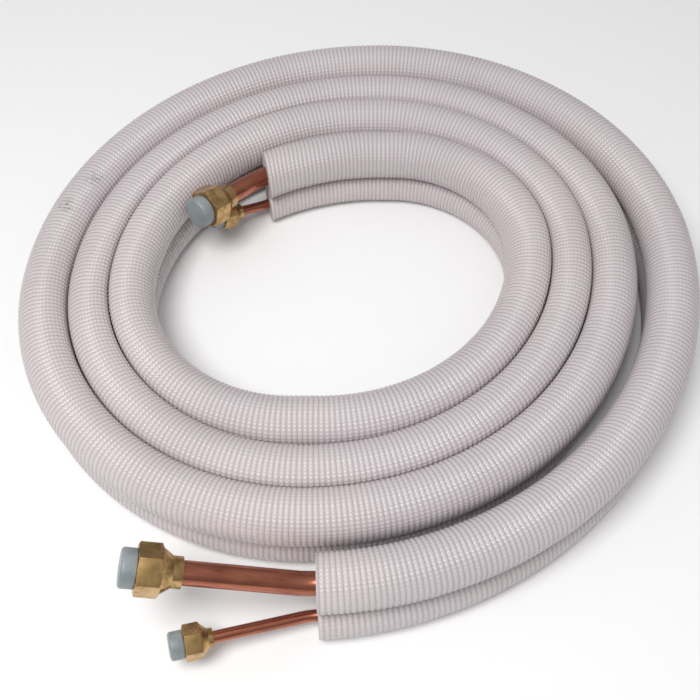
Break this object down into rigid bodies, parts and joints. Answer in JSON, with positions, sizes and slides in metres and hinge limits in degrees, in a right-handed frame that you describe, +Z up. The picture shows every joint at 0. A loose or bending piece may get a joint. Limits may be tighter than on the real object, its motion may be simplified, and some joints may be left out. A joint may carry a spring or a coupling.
{
  "type": "insulated twin copper tube coil",
  "caption": "Flat oval coil of twin copper tube in bonded embossed foam sleeves, with flare nuts and plastic plugs on the tube ends.",
  "frame": {"origin": "under the middle of the coil's box, on the floor that it lies on", "axes": "+Z up from the floor; +Y along the longer side of the coil, away from the outer end; +X to the right seen from the outer end"},
  "size_m": [0.4331, 0.4701, 0.078],
  "materials": {
    "copper": "drawn soft copper with dull streaks",
    "foam": "embossed polyethylene foam skin, satin",
    "brass": "machined brass, dull",
    "plug": "milky moulded polyethylene"
  },
  "bodies": {
    "root": {"large_tube": "copper", "small_tube": "copper", "large_sleeve": "foam", "small_sleeve": "foam", "outer_large_nut": "brass", "outer_small_nut": "brass", "inner_large_nut": "brass", "inner_small_nut": "brass", "outer_large_plug": "plug", "outer_small_plug": "plug", "inner_large_plug": "plug", "inner_small_plug": "plug"}
  },
  "joints": []
}
